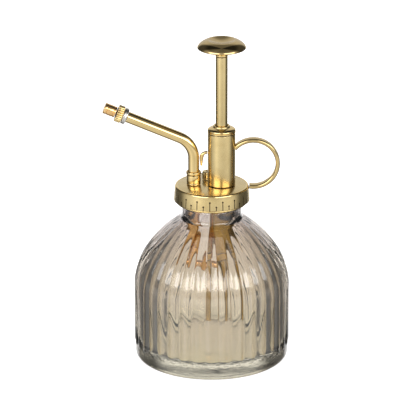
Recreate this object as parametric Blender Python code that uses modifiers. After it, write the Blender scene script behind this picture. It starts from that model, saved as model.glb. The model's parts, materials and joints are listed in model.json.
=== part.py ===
# Hand mister: ribbed glass bottle with a brass pump head.
# Metres, +Z up. The origin is the centre of the bottle's flat underside.
# The spout points along -X and the finger ring along +X.
import math
import bmesh
import bpy
from mathutils import Euler, Matrix, Vector

# ---- driving dimensions -------------------------------------------------
gap = 0.0003  # clearance between pieces that meet

# glass bottle
bottle_radius = 0.0375
straight_top = 0.0363  # height where the cylinder turns into the dome
dome_height = 0.0353
dome_round = 1.82  # exponents of the dome's outline
dome_rise = 0.98
glass_wall = 0.0024
glass_floor = 0.0075
foot_height = 0.0065
foot_step = 0.0005  # the smooth foot is this much smaller in radius
foot_edge = 0.0030
rib_count = 36
rib_depth = 0.0010
neck_height = 0.0125
neck_wall = 0.0014
neck_collar_height = 0.0056
neck_collar_step = 0.0008

# screw thread between neck and cap
thread_root = 0.0134
thread_height = 0.0010
thread_width = 0.0009
thread_pitch = 0.0030
thread_clearance = 0.0004
thread_turns = 1.10
thread_start = 0.0024  # above the neck's collar

# cap
gasket_thickness = 0.0012
deck_thickness = 0.0016
deck_edge = 0.0009
skirt_height = 0.0076
skirt_wall = 0.0015
skirt_flare = 0.0006
liner_wall = 0.0011
lip_height = 0.0010
lip_inset = 0.0013

# pump barrel
cylinder_bore = 0.0047
cylinder_wall = 0.0010
cylinder_length = 0.0585
cylinder_floor = 0.0015
cylinder_sink = 0.0012  # top of the cylinder below the top of the sleeve
sleeve_wall = 0.00065
sleeve_height = 0.0259
neck_clearance = 0.0016  # pump barrel to the neck's bore
gland_height = 0.0035
gland_top_radius = 0.0041
gland_step = 0.0017
gland_groove = 0.0005
bushing_length = 0.0080
seal_height = 0.0018
seal_wall = 0.0018

# plunger
rod_radius = 0.002875
rod_clearance = 0.0003
stroke = 0.0300
stroke_reserve = 0.0047  # left between ferrule and gland nut at full stroke
stud_radius = 0.0016
stud_length = 0.0052
ferrule_wide = 0.00315
ferrule_narrow = 0.00295
ferrule_height = 0.0026
button_radius = 0.0117
button_rim = 0.0064
button_top = 0.0037  # rim above the widest line
button_under = 0.0013  # underside below the widest line
button_dish = 0.0014
button_bevel = 1.3  # exponent of its top outline: 1 is round, 2 is straight
piston_thickness = 0.0025
cup_height = 0.0037
cup_wall = 0.0008
washer_thickness = 0.0010
screw_radius = 0.0008
screw_head_radius = 0.0022
screw_head_height = 0.0018
screw_grip = 0.0050  # thread length inside the rod
spring_wire = 0.0008
spring_turns = 8.5
spring_play = 0.0007  # coil to the cylinder's bore

# valves under the barrel
housing_radius = 0.0042
housing_flange = 0.0030
housing_length = 0.0137
housing_bore = 0.0030
nipple_radius = 0.0033
nipple_length = 0.0020
inlet_ball_radius = 0.0016
inlet_lift = 0.0012
ball_play = 0.0005
seat_hole = 0.0010
cage_thickness = 0.0010
cage_hole = 0.0008
dip_radius = 0.0030
dip_wall = 0.0007
dip_floor_gap = 0.0105
duct_radius = 0.0028
duct_wall = 0.0008
duct_neck = 0.0021  # radius of its upper end, which passes through the deck
duct_shoulder = 0.0008  # below the deck
duct_clearance = 0.0005  # duct to the neck's bore
manifold_wall = 0.0009
manifold_height = 0.0115
manifold_floor = 0.0015
arm_radius = 0.0016
port_radius = 0.0006
outlet_seat_thickness = 0.0010
outlet_ball_radius = 0.0011
outlet_lift = 0.0008
outlet_spring_wire = 0.0003
outlet_spring_turns = 5.0

# spout
socket_radius = 0.0034
socket_height = 0.0047
socket_ring_height = 0.0014
socket_ring_wall = 0.0006
spout_radius = 0.0027
spout_wall = 0.0009
spout_rise = 0.0209  # height of the bend's corner above the deck
spout_bend = 0.0110
spout_tilt = math.radians(22.6)  # above the horizontal
spout_reach = 0.0344  # from the bend's corner to the end of the tube
brace_radius = 0.0007
vent_radius = 0.0026
vent_height = 0.0038
vent_hole = 0.0008
vent_clearance = 0.0008  # to the sleeve and the socket

# nozzle, measured along the spout's own axis
collar_radius = 0.0041
collar_length = 0.0018
collar_stub = 0.0028
collar_stub_length = 0.0025
knurl_radius = 0.0042
knurl_length = 0.0030
knurl_depth = 0.0004
knurl_count = 20
tip_radius = 0.0027
tip_length = 0.0059
tip_wall = 0.0008
tip_front = 0.0010
spray_hole = 0.0004
nozzle_seal_thickness = 0.0005
core_length = 0.0030
core_slot = 0.0004

# finger ring
finger_radius = 0.0117  # to the middle of the band
finger_band = 0.0021
finger_width = 0.0045
finger_reach = 0.00865  # its centre, from the sleeve's wall
finger_rise = 0.0108  # its centre, above the deck
finger_start = math.radians(-100.0)
finger_end = math.radians(139.0)

# facets of the round pieces
bottle_steps = 2 * rib_count
cap_steps = 40
round_steps = 24
small_steps = 16

# ---- worked-out places --------------------------------------------------
neck_base = straight_top + dome_height
neck_top = neck_base + neck_height
neck_bore = thread_root - neck_wall
neck_collar = thread_root + neck_collar_step
thread_crest = thread_root + thread_height

liner_root = thread_crest + thread_clearance
liner_radius = liner_root + liner_wall
skirt_inner = liner_radius + gap
cap_radius = skirt_inner + skirt_wall
skirt_radius = cap_radius + skirt_flare
deck_under = neck_top + gap + gasket_thickness + gap
deck_top = deck_under + deck_thickness
skirt_bottom = deck_top - skirt_height

cylinder_radius = cylinder_bore + cylinder_wall
pump_x = neck_bore - cylinder_radius - neck_clearance
sleeve_bore = cylinder_radius + gap
sleeve_radius = sleeve_bore + sleeve_wall
sleeve_bottom = deck_top + gap
sleeve_top = sleeve_bottom + sleeve_height
gland_bottom = sleeve_top + gap
gland_top = gland_bottom + gland_height
cylinder_top = sleeve_top - cylinder_sink
cylinder_bottom = cylinder_top - cylinder_length
rod_bore = rod_radius + rod_clearance
bushing_bottom = cylinder_top - bushing_length
seal_bottom = cylinder_top + gap
seal_radius = rod_bore + seal_wall

piston_top = bushing_bottom - gap
piston_radius = cylinder_bore - gap
cup_top = piston_top - piston_thickness - gap
washer_top = cup_top - cup_height - gap
screw_top = washer_top - washer_thickness - gap
rod_bottom = piston_top + gap
ferrule_bottom = gland_top + stroke + stroke_reserve
ferrule_top = ferrule_bottom + ferrule_height
rod_top = ferrule_bottom - gap
button_line = ferrule_top + gap + button_under
spring_radius = cylinder_bore - spring_play - spring_wire / 2
spring_top = washer_top - washer_thickness - gap
spring_bottom = cylinder_bottom + cylinder_floor + gap

housing_top = cylinder_bottom - gap
housing_bottom = housing_top - housing_length
inlet_bore = inlet_ball_radius + ball_play
inlet_seat = housing_bottom + nipple_length + 0.0020
inlet_ball_z = inlet_seat - seat_hole + (inlet_ball_radius + gap) * math.sqrt(2.0)
cage_bottom = inlet_ball_z + inlet_ball_radius + inlet_lift + gap
dip_top = housing_bottom - gap
dip_bottom = glass_floor + dip_floor_gap

duct_bore = duct_neck - duct_wall
spout_x = -(neck_bore - duct_radius - duct_clearance)
manifold_bore = outlet_ball_radius + ball_play
manifold_radius = manifold_bore + manifold_wall
arm_z = inlet_ball_z + inlet_lift
manifold_bottom = arm_z - port_radius - manifold_floor
manifold_top = manifold_bottom + manifold_height
outlet_seat_bottom = arm_z + port_radius + manifold_floor
outlet_seat_top = outlet_seat_bottom + outlet_seat_thickness
outlet_ball_z = outlet_seat_top - port_radius + (outlet_ball_radius + gap) * math.sqrt(2.0)
duct_bottom = manifold_top + gap
socket_bottom = deck_top + gap
socket_top = socket_bottom + socket_height
duct_top = socket_top - socket_ring_height
spout_bottom = socket_top + gap
spout_end = Vector((
    spout_x - spout_reach * math.cos(spout_tilt),
    0.0,
    deck_top + spout_rise + spout_reach * math.sin(spout_tilt),
))
nozzle_turn = Euler((0.0, spout_tilt - math.pi / 2, 0.0))
vent_x = (pump_x + spout_x) / 2
vent_reach = max(sleeve_radius, socket_radius) + vent_radius + vent_clearance
vent_place = Vector((vent_x, math.sqrt(vent_reach ** 2 - (pump_x - vent_x) ** 2)))
finger_x = pump_x + sleeve_radius + finger_reach
finger_z = deck_top + finger_rise

# ---- finishes -----------------------------------------------------------
finishes = {
    "ribbed_glass": ((0.80, 0.74, 0.64), 0.08, 0.0),
    "satin_brass": ((0.72, 0.62, 0.36), 0.38, 1.0),
    "polished_brass": ((0.80, 0.66, 0.33), 0.14, 1.0),
    "dark_bronze": ((0.26, 0.20, 0.09), 0.22, 1.0),
    "copper": ((0.72, 0.45, 0.25), 0.28, 1.0),
    "steel": ((0.62, 0.62, 0.60), 0.25, 1.0),
    "rubber": ((0.05, 0.05, 0.05), 0.70, 0.0),
    "white_plastic": ((0.85, 0.84, 0.78), 0.30, 0.0),
}


def clear_scene():
    for old in list(bpy.data.objects):
        bpy.data.objects.remove(old, do_unlink=True)


def new_collection(name):
    made = bpy.data.collections.new(name)
    bpy.context.scene.collection.children.link(made)
    return made


def material_for(name, finish):
    color, roughness, metallic = finishes[finish]
    made = bpy.data.materials.new(name + "_" + finish)
    made.use_nodes = True
    shader = made.node_tree.nodes["Principled BSDF"]
    shader.inputs["Base Color"].default_value = (*color, 1.0)
    shader.inputs["Roughness"].default_value = roughness
    shader.inputs["Metallic"].default_value = metallic
    return made


def add_object(name, data, finish, parent=None):
    """A finish of None makes a cutter, which is left out of the model."""
    made = bpy.data.objects.new(name, data)
    if finish is None:
        cutters.objects.link(made)
        made.hide_render = True
        made.display_type = "WIRE"
    else:
        parts.objects.link(made)
        data.materials.append(material_for(name, finish))
    made.parent = parent
    return made


def mesh_from(name, bm):
    mesh = bpy.data.meshes.new(name)
    bm.to_mesh(mesh)
    bm.free()
    mesh.shade_smooth()
    mesh.set_sharp_from_angle(angle=math.radians(35.0))
    return mesh


def arc(center, start, end, steps):
    """Points on the arc from start to end about center, ends included."""
    first = start - center
    turn = first.angle_signed(end - center)
    return [center + Matrix.Rotation(-turn * i / steps, 2) @ first for i in range(steps + 1)]


def outline(corners, steps=3):
    """A profile's points. A corner is (radius, height) or (radius, height, fillet)."""
    points = []
    for i, corner in enumerate(corners):
        here = Vector(corner[:2])
        if len(corner) == 2:
            points.append(here)
            continue
        back = Vector(corners[i - 1][:2]) - here
        ahead = Vector(corners[(i + 1) % len(corners)][:2]) - here
        half = back.angle(ahead) / 2
        reach = min(corner[2] / math.tan(half), 0.48 * back.length, 0.48 * ahead.length)
        middle = (back.normalized() + ahead.normalized()).normalized()
        center = here + middle * reach / math.cos(half)
        start = here + back.normalized() * reach
        points += arc(center, start, here + ahead.normalized() * reach, steps)
    return points


def turned(name, points, finish, place=(0.0, 0.0), steps=round_steps, parent=None):
    """A body turned from a profile that runs down its outer side.

    A profile that starts and ends on the axis is open there; any other is a closed loop.
    """
    mesh = bpy.data.meshes.new(name)
    open_ended = points[0][0] == 0.0 and points[-1][0] == 0.0
    count = len(points)
    edges = [(i, (i + 1) % count) for i in range(count - 1 if open_ended else count)]
    mesh.from_pydata([(r, 0.0, z) for r, z in points], edges, [])
    made = add_object(name, mesh, finish, parent)
    made.location = (place[0], place[1], 0.0)
    screw = made.modifiers.new("Turn", "SCREW")
    screw.angle = math.tau
    screw.steps = steps
    screw.render_steps = steps
    screw.use_merge_vertices = True
    screw.merge_threshold = 0.00001
    screw.use_smooth_shade = True
    return made


def tube_points(outer, inner, top, bottom, edge=0.0):
    """The profile of a plain ring or tube, with its outer corners rounded."""
    if edge == 0.0:
        return outline([(outer, top), (outer, bottom), (inner, bottom), (inner, top)])
    corners = [(outer, top, edge), (outer, bottom, edge), (inner, bottom), (inner, top)]
    return outline(corners, 2)


def rod_cutter(name, radius, bottom, top, place, steps=round_steps):
    points = [(0.0, top), (radius, top), (radius, bottom), (0.0, bottom)]
    return turned(name, points, None, place, steps)


def boolean(target, other, operation="DIFFERENCE"):
    made = target.modifiers.new(operation.title() + " " + other.name, "BOOLEAN")
    made.operation = operation
    made.solver = "EXACT"
    made.object = other
    return made


def wire(name, points, radius, finish, resolution=2, radii=None, parent=None):
    curve = bpy.data.curves.new(name, "CURVE")
    curve.dimensions = "3D"
    curve.bevel_depth = radius
    curve.bevel_resolution = resolution
    curve.use_fill_caps = True
    spline = curve.splines.new("POLY")
    spline.points.add(len(points) - 1)
    for i, point in enumerate(points):
        spline.points[i].co = (*point, 1.0)
        spline.points[i].radius = radii[i] if radii else 1.0
    return add_object(name, curve, finish, parent)


def wire_mesh(made, finish):
    """Turns a wire object into a mesh object with welded caps."""
    bpy.context.view_layer.update()
    graph = bpy.context.evaluated_depsgraph_get()
    mesh = bpy.data.meshes.new_from_object(made.evaluated_get(graph))
    mesh.materials.clear()
    bm = bmesh.new()
    bm.from_mesh(mesh)
    bmesh.ops.remove_doubles(bm, verts=bm.verts, dist=0.000001)
    bmesh.ops.recalc_face_normals(bm, faces=bm.faces)
    bm.to_mesh(mesh)
    bm.free()
    name = made.name
    world = made.matrix_world.copy()
    bpy.data.objects.remove(made, do_unlink=True)
    mesh.shade_smooth()
    mesh.set_sharp_from_angle(angle=math.radians(35.0))
    solid = add_object(name, mesh, finish)
    solid.matrix_world = world
    return solid


def ball(name, radius, place, finish):
    bm = bmesh.new()
    bmesh.ops.create_uvsphere(bm, u_segments=14, v_segments=8, radius=radius)
    made = add_object(name, mesh_from(name, bm), finish)
    made.location = place
    return made


def helix(radius, bottom, top, turns, steps):
    count = int(turns * steps)
    points = []
    for i in range(count + 1):
        angle = math.tau * i / steps
        rise = bottom + (top - bottom) * i / count
        points.append((radius * math.cos(angle), radius * math.sin(angle), rise))
    return points


def thread_ridge(name, buried, crest, height, start_angle, turns):
    """A helical ridge from the buried radius to its crest, for a Boolean union."""
    half = thread_width / 2
    slope = abs(crest - buried) * 0.25
    section = [(buried, -half - slope), (buried, half + slope), (crest, half), (crest, -half)]
    steps = int(turns * 36)
    angle = math.tau * turns
    bm = bmesh.new()
    corners = [bm.verts.new((r, 0.0, height + z)) for r, z in section]
    face = bm.faces.new(corners)
    bmesh.ops.spin(
        bm,
        geom=[face, *face.edges, *face.verts],
        cent=(0.0, 0.0, 0.0),
        axis=(0.0, 0.0, 1.0),
        dvec=(0.0, 0.0, thread_pitch * turns / steps),
        angle=angle,
        steps=steps,
    )
    bmesh.ops.rotate(bm, verts=bm.verts, matrix=Matrix.Rotation(start_angle, 3, "Z"))
    bmesh.ops.recalc_face_normals(bm, faces=bm.faces)
    return add_object(name, mesh_from(name, bm), None)


# ---- bottle -------------------------------------------------------------
def dome(offset, steps):
    """The dome from the cylinder up to the neck, moved inwards by offset."""
    top = neck_collar if offset == 0.0 else neck_bore
    wide = bottle_radius - offset
    points = []
    for i in range(steps + 1):
        angle = math.pi / 2 * i / steps
        radius = top + (wide - top) * max(math.cos(angle), 0.0) ** dome_round
        height = straight_top + (dome_height - offset) * math.sin(angle) ** dome_rise
        points.append((radius, height))
    return points


def rib_weight(radius, height):
    """How deep the flutes are: none on the foot and neck, fading over the shoulder."""
    if height < foot_height + rib_depth or height > neck_base:
        return 0.0
    fade = (radius - neck_collar) / (bottle_radius - neck_collar)
    return min(1.0, 1.6 * fade)


def glass_bottle():
    foot = bottle_radius - foot_step
    shoulder = foot_height + 1.5 * rib_depth
    outer = outline([(0.0, 0.0), (foot, 0.0, foot_edge), (foot, foot_height)])
    outer.append((bottle_radius, shoulder))
    outer += dome(0.0, 8)
    collar_top = neck_base + neck_collar_height
    outer += [(neck_collar, collar_top), (thread_root, collar_top + neck_collar_step)]
    outer += [(thread_root, neck_top), (neck_bore, neck_top)]
    inner = list(reversed(dome(glass_wall, 6)))
    inner_radius = bottle_radius - glass_wall
    inner += outline([inner.pop(), (inner_radius, glass_floor, foot_edge), (0.0, glass_floor)])
    profile = outer + inner
    bm = bmesh.new()
    ring = [bm.verts.new((p[0], 0.0, p[1])) for p in profile]
    edges = [bm.edges.new((a, b)) for a, b in zip(ring, ring[1:])]
    bmesh.ops.spin(
        bm,
        geom=[*ring, *edges],
        cent=(0.0, 0.0, 0.0),
        axis=(0.0, 0.0, 1.0),
        angle=math.tau,
        steps=bottle_steps,
        use_merge=True,
    )
    bmesh.ops.remove_doubles(bm, verts=bm.verts, dist=0.00001)
    limit = bottle_radius - glass_wall / 2
    for vert in bm.verts:
        flat = Vector(vert.co[:2])
        if flat.length == 0.0 or not is_outer(flat.length, vert.co.z):
            continue
        index = round(math.atan2(flat.y, flat.x) / math.tau * bottle_steps)
        depth = rib_depth * rib_weight(flat.length, vert.co.z) * (index % 2)
        flat *= (flat.length - depth) / flat.length
        vert.co.x, vert.co.y = flat
    bmesh.ops.recalc_face_normals(bm, faces=bm.faces)
    made = add_object("glass_bottle", mesh_from("glass_bottle", bm), "ribbed_glass")
    ridge = thread_ridge(
        "neck_thread",
        thread_root - neck_wall / 2,
        thread_crest,
        collar_top + thread_start,
        0.0,
        thread_turns,
    )
    boolean(made, ridge, "UNION")
    return made


def is_outer(radius, height):
    """True for a point nearer the outer outline than the inner one."""
    if height <= straight_top:
        return radius > bottle_radius - glass_wall / 2
    share = min(1.0, (height - straight_top) / dome_height)
    angle = math.asin(share ** (1.0 / dome_rise))
    edge = neck_collar + (bottle_radius - neck_collar) * math.cos(angle) ** dome_round
    return radius > edge - glass_wall / 4


# ---- cap ----------------------------------------------------------------
def neck_gasket():
    top = deck_under - gap
    points = tube_points(liner_root - gap, neck_bore, top, top - gasket_thickness)
    turned("neck_gasket", points, "rubber", steps=cap_steps)


def cap_shell():
    corners = [
        (0.0, deck_top),
        (cap_radius, deck_top, deck_edge),
        (skirt_radius, skirt_bottom, gap),
        (skirt_inner, skirt_bottom),
        (skirt_inner, deck_under),
        (0.0, deck_under),
    ]
    made = turned("cap_shell", outline(corners), "satin_brass", steps=cap_steps)
    low = deck_under - deck_thickness
    high = deck_top + deck_thickness
    holes = (
        ("pump", cylinder_radius + gap, (pump_x, 0.0)),
        ("duct", duct_neck + gap, (spout_x, 0.0)),
        ("vent", vent_hole, vent_place),
    )
    for name, radius, place in holes:
        boolean(made, rod_cutter(name + "_deck_hole", radius, low, high, place, small_steps))


def cap_liner():
    top = deck_under - gap
    lip_top = skirt_bottom - gap
    lip = skirt_radius - lip_inset
    edge = 0.4 * lip_height
    corners = [
        (liner_radius, top),
        (liner_radius, lip_top),
        (lip, lip_top, edge),
        (lip, lip_top - lip_height, edge),
        (liner_root, lip_top - lip_height),
        (liner_root, top),
    ]
    made = turned("cap_liner", outline(corners, 2), "polished_brass", steps=cap_steps)
    start = neck_base + neck_collar_height + thread_start + thread_pitch / 2
    back = math.radians(120.0)
    ridge = thread_ridge(
        "liner_thread",
        liner_root + liner_wall / 2,
        liner_root - thread_height,
        start - thread_pitch * back / math.tau,
        -back,
        thread_turns,
    )
    boolean(made, ridge, "UNION")


# ---- pump barrel --------------------------------------------------------
def pump_barrel():
    at = (pump_x, 0.0)
    points = tube_points(sleeve_radius, sleeve_bore, sleeve_top, sleeve_bottom)
    turned("pump_sleeve", points, "satin_brass", at)
    floor_top = cylinder_bottom + cylinder_floor
    corners = [
        (cylinder_radius, cylinder_top),
        (cylinder_radius, cylinder_bottom),
        (inlet_bore, cylinder_bottom),
        (inlet_bore, floor_top),
        (cylinder_bore, floor_top),
        (cylinder_bore, cylinder_top),
    ]
    turned("pump_cylinder", outline(corners), "polished_brass", at)
    points = tube_points(cylinder_bore - gap, rod_bore, cylinder_top, bushing_bottom)
    turned("rod_bushing", points, "white_plastic", at, small_steps)
    seal_top = seal_bottom + seal_height
    points = tube_points(seal_radius, rod_bore, seal_top, seal_bottom)
    turned("rod_seal", points, "rubber", at, small_steps)


def gland_nut():
    step = gland_top - gland_step
    pocket = seal_bottom + seal_height + gap
    groove = gland_bottom + (step - gland_bottom) / 2
    corners = [
        (gland_top_radius, gland_top, 0.0004),
        (gland_top_radius, step),
        (sleeve_radius + 0.0001, step - 0.0004),
        (sleeve_radius + 0.0001, groove + gland_groove / 2),
        (sleeve_radius - gland_groove, groove),
        (sleeve_radius + 0.0001, groove - gland_groove / 2),
        (sleeve_radius + 0.0001, gland_bottom),
        (seal_radius + gap, gland_bottom),
        (seal_radius + gap, pocket),
        (rod_bore, pocket),
        (rod_bore, gland_top),
    ]
    turned("gland_nut", outline(corners, 2), "polished_brass", (pump_x, 0.0))


# ---- plunger ------------------------------------------------------------
def plunger():
    at = (pump_x, 0.0)
    bore = screw_radius + gap
    corners = [
        (0.0, rod_top + stud_length),
        (stud_radius, rod_top + stud_length),
        (stud_radius, rod_top),
        (rod_radius, rod_top),
        (rod_radius, rod_bottom),
        (bore, rod_bottom),
        (bore, rod_bottom + screw_grip + gap),
        (0.0, rod_bottom + screw_grip + gap),
    ]
    turned("plunger_rod", outline(corners), "polished_brass", at)
    points = tube_points(piston_radius, bore, piston_top, piston_top - piston_thickness)
    turned("piston", points, "polished_brass", at, small_steps)
    cup_low = cup_top - cup_height
    corners = [
        (piston_radius, cup_top),
        (piston_radius, cup_low),
        (piston_radius - cup_wall, cup_low),
        (piston_radius - 2 * cup_wall, cup_top - cup_height / 2),
        (piston_radius - 2 * cup_wall, cup_low),
        (bore, cup_low),
        (bore, cup_top),
    ]
    turned("piston_cup", outline(corners), "rubber", at, small_steps)
    low = washer_top - washer_thickness
    points = tube_points(spring_radius + spring_wire / 2, bore, washer_top, low)
    turned("piston_washer", points, "steel", at, small_steps)
    corners = [
        (0.0, rod_bottom + screw_grip),
        (screw_radius, rod_bottom + screw_grip),
        (screw_radius, screw_top),
        (screw_head_radius, screw_top),
        (screw_head_radius, screw_top - screw_head_height, 0.0004),
        (0.0, screw_top - screw_head_height),
    ]
    turned("piston_screw", outline(corners, 2), "steel", at, small_steps)


def button():
    at = (pump_x, 0.0)
    bore = stud_radius + gap
    waist = ferrule_bottom + ferrule_height / 2
    corners = [
        (ferrule_narrow, ferrule_top),
        (ferrule_narrow, waist + gap),
        (ferrule_wide, waist, 0.0003),
        (ferrule_wide, ferrule_bottom, 0.0005),
        (bore, ferrule_bottom),
        (bore, ferrule_top),
    ]
    turned("button_ferrule", outline(corners, 2), "polished_brass", at, small_steps)
    top = button_line + button_top
    points = []
    for i in range(5):
        share = i / 4
        points.append((button_rim * share, top - button_dish * (1.0 - share ** 2)))
    for i in range(1, 6):
        angle = math.pi / 2 * i / 5
        radius = button_rim + (button_radius - button_rim) * math.sin(angle) ** button_bevel
        rise = button_top * max(math.cos(angle), 0.0) ** button_bevel
        points.append((radius, button_line + rise))
    low = button_line - button_under
    for i in range(1, 5):
        angle = math.pi / 2 * i / 4
        radius = ferrule_narrow + (button_radius - ferrule_narrow) * math.cos(angle)
        points.append((radius, button_line - button_under * math.sin(angle)))
    roof = rod_top + stud_length + gap
    points += [(bore, low), (bore, roof), (0.0, roof)]
    turned("button", points, "dark_bronze", at)


def return_spring():
    half = spring_wire / 2
    points = helix(spring_radius, spring_bottom + half, spring_top - half, spring_turns, 10)
    made = wire("return_spring", points, half, "steel", 1)
    made.location = (pump_x, 0.0, 0.0)


# ---- valves -------------------------------------------------------------
def valve_housing():
    nipple_top = housing_bottom + nipple_length
    flange = housing_top - housing_flange
    shoulder = cage_bottom - gap
    corners = [
        (cylinder_radius, housing_top),
        (cylinder_radius, flange),
        (housing_radius, flange - housing_flange / 3),
        (housing_radius, nipple_top),
        (nipple_radius, nipple_top),
        (nipple_radius, housing_bottom),
        (seat_hole, housing_bottom),
        (seat_hole, inlet_seat),
        (inlet_bore, inlet_seat + inlet_bore - seat_hole),
        (inlet_bore, shoulder),
        (housing_bore, shoulder),
        (housing_bore, housing_top),
    ]
    made = turned("valve_housing", outline(corners), "polished_brass", (pump_x, 0.0))
    port = rod_cutter("housing_port", port_radius, 0.0, 2 * housing_radius, (0.0, 0.0), 12)
    port.location = (pump_x - 1.5 * port_radius, 0.0, arm_z)
    port.rotation_euler = (0.0, -math.pi / 2, 0.0)
    boolean(made, port)
    ball("inlet_ball", inlet_ball_radius, (pump_x, 0.0, inlet_ball_z), "steel")


def inlet_cage():
    cage_radius = housing_bore - gap
    cage_top = cage_bottom + cage_thickness
    points = tube_points(cage_radius, cage_hole, cage_top, cage_bottom)
    made = turned("inlet_cage", points, "steel", (pump_x, 0.0), small_steps)
    ring = (cage_hole + cage_radius) / 2
    drill = (cage_radius - cage_hole) / 4
    for i in range(4):
        angle = math.pi / 2 * i
        place = (pump_x + ring * math.cos(angle), ring * math.sin(angle))
        low = cage_bottom - cage_thickness
        high = cage_top + cage_thickness
        boolean(made, rod_cutter(f"cage_drill_{i}", drill, low, high, place, 8))


def dip_tube():
    points = tube_points(dip_radius, dip_radius - dip_wall, dip_top, dip_bottom)
    turned("dip_tube", points, "satin_brass", (pump_x, 0.0), small_steps)


def outlet_manifold():
    at = (spout_x, 0.0)
    chamber = arm_z - port_radius
    ledge = outlet_seat_bottom - gap
    corners = [
        (manifold_radius, manifold_top),
        (manifold_radius, manifold_bottom, 0.0006),
        (0.0, manifold_bottom),
        (0.0, chamber),
        (port_radius, chamber),
        (port_radius, ledge),
        (manifold_bore, ledge),
        (manifold_bore, manifold_top),
    ]
    points = outline(corners, 2)
    made = turned_blind("outlet_manifold", points, "copper", at)
    reach = pump_x - housing_radius - gap - spout_x
    arm = rod_cutter("manifold_arm", arm_radius, manifold_radius / 2, reach, (0.0, 0.0), 16)
    arm.location = (spout_x, 0.0, arm_z)
    arm.rotation_euler = (0.0, math.pi / 2, 0.0)
    boolean(made, arm, "UNION")
    bore = rod_cutter("manifold_port", port_radius, 0.0, 2 * reach, (0.0, 0.0), 12)
    bore.location = (spout_x, 0.0, arm_z)
    bore.rotation_euler = (0.0, math.pi / 2, 0.0)
    boolean(made, bore)


def turned_blind(name, corners, finish, at):
    """A turned cup: its loop crosses the axis at the floor, so it starts at the inner floor."""
    first = next(i for i, p in enumerate(corners) if i and p[0] == 0.0 and corners[i - 1][0] == 0.0)
    points = corners[first:] + corners[:first]
    return turned(name, points, finish, at, small_steps)


def outlet_valve():
    at = (spout_x, 0.0)
    outer = manifold_bore - gap
    chamfer = outer - port_radius - gap
    corners = [
        (outer, outlet_seat_top + chamfer),
        (outer, outlet_seat_bottom),
        (port_radius, outlet_seat_bottom),
        (port_radius, outlet_seat_top),
        (port_radius + chamfer, outlet_seat_top + chamfer),
    ]
    turned("outlet_seat", outline(corners), "steel", at, small_steps)
    ball("outlet_ball", outlet_ball_radius, (spout_x, 0.0, outlet_ball_z), "steel")
    half = outlet_spring_wire / 2
    bottom = outlet_ball_z + outlet_ball_radius + gap + half
    top = duct_bottom - gap - half
    radius = manifold_bore - gap - half
    points = helix(radius, bottom, top, outlet_spring_turns, 8)
    made = wire("outlet_spring", points, half, "steel", 1)
    made.location = (spout_x, 0.0, 0.0)


def outlet_duct():
    shoulder = deck_under - duct_shoulder
    corners = [
        (duct_neck, duct_top),
        (duct_neck, shoulder),
        (duct_radius, shoulder),
        (duct_radius, duct_bottom),
        (duct_bore, duct_bottom),
        (duct_bore, duct_top),
    ]
    turned("outlet_duct", outline(corners), "copper", (spout_x, 0.0), small_steps)


# ---- spout --------------------------------------------------------------
def spout_path(overrun=0.0):
    """The tube's centre line, longer at both ends by overrun."""
    corner = Vector((spout_x, 0.0, deck_top + spout_rise))
    turn = math.pi / 2 - spout_tilt
    tangent = spout_bend * math.tan(turn / 2)
    points = [(spout_x, 0.0, spout_bottom - overrun)]
    for i in range(9):
        angle = turn * i / 8
        x = spout_x - spout_bend * (1.0 - math.cos(angle))
        points.append((x, 0.0, corner.z - tangent + spout_bend * math.sin(angle)))
    along = (spout_end - corner).normalized()
    points.append(tuple(spout_end + along * overrun))
    return points


def spout_tube():
    outer = wire("spout_tube", spout_path(), spout_radius, "satin_brass", 6)
    outer = wire_mesh(outer, "satin_brass")
    inner = wire("spout_bore", spout_path(spout_wall), spout_radius - spout_wall, None, 3)
    inner = wire_mesh(inner, None)
    boolean(outer, inner)


def spout_socket():
    at = (spout_x, 0.0)
    bore = duct_neck + gap
    points = tube_points(socket_radius, bore, socket_top, socket_bottom)
    turned("spout_socket", points, "satin_brass", at)
    ring_bore = spout_radius + gap
    top = spout_bottom + socket_ring_height
    points = tube_points(ring_bore + socket_ring_wall, ring_bore, top, spout_bottom, 0.0003)
    turned("socket_ring", points, "polished_brass", at)


def spout_brace():
    start_x = pump_x - sleeve_radius - gap
    end_x = spout_x + spout_radius + gap + brace_radius
    top = deck_top + 0.0162
    middle = (start_x + end_x) / 2
    points = [
        (start_x, 0.0, top),
        (middle + 0.3 * (start_x - middle), 0.0, top - 0.0002),
        (middle - 0.6 * (start_x - middle), 0.0, top - 0.0013),
        (end_x, 0.0, top - 0.0030),
        (end_x, 0.0, top - 0.0050),
        (end_x, 0.0, top - 0.0067),
    ]
    radii = [1.0, 1.0, 1.0, 1.0, 0.75, 0.45]
    wire("spout_brace", points, brace_radius, "satin_brass", 2, radii)


def vent_post():
    bottom = deck_top + gap
    corners = [
        (vent_radius, bottom + vent_height, 0.0005),
        (vent_radius, bottom),
        (vent_hole, bottom),
        (vent_hole, bottom + vent_height),
    ]
    turned("vent_post", outline(corners), "satin_brass", vent_place, small_steps)


# ---- nozzle -------------------------------------------------------------
def nozzle_axis():
    made = bpy.data.objects.new("nozzle_axis", None)
    parts.objects.link(made)
    made.location = spout_end
    made.rotation_euler = nozzle_turn
    made.empty_display_size = 0.01
    return made


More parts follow.
